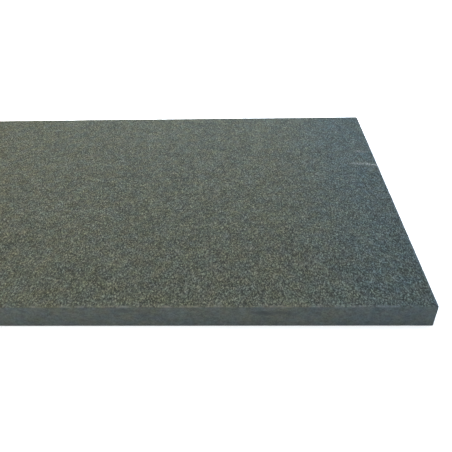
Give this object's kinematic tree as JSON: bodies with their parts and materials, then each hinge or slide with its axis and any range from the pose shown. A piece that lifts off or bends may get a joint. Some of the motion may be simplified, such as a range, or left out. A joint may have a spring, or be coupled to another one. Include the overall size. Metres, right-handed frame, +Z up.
{
  "type": "rubber foam sheet",
  "caption": "Thick flat rectangular sheet of closed-cell rubber foam with grained faces and smooth knife-cut sides, for padding, lining, sealing or damping.",
  "frame": {"origin": "middle of the underside", "axes": "+Z up through the thickness, +X along the length to the right, +Y across the depth away from the front side"},
  "size_m": [0.42, 0.2969, 0.02],
  "materials": {
    "foam_rubber": "matt dark grey-green closed-cell foam, grained on the split faces and smooth on the cut sides"
  },
  "bodies": {
    "root": {"foam_sheet": "foam_rubber"}
  },
  "joints": []
}
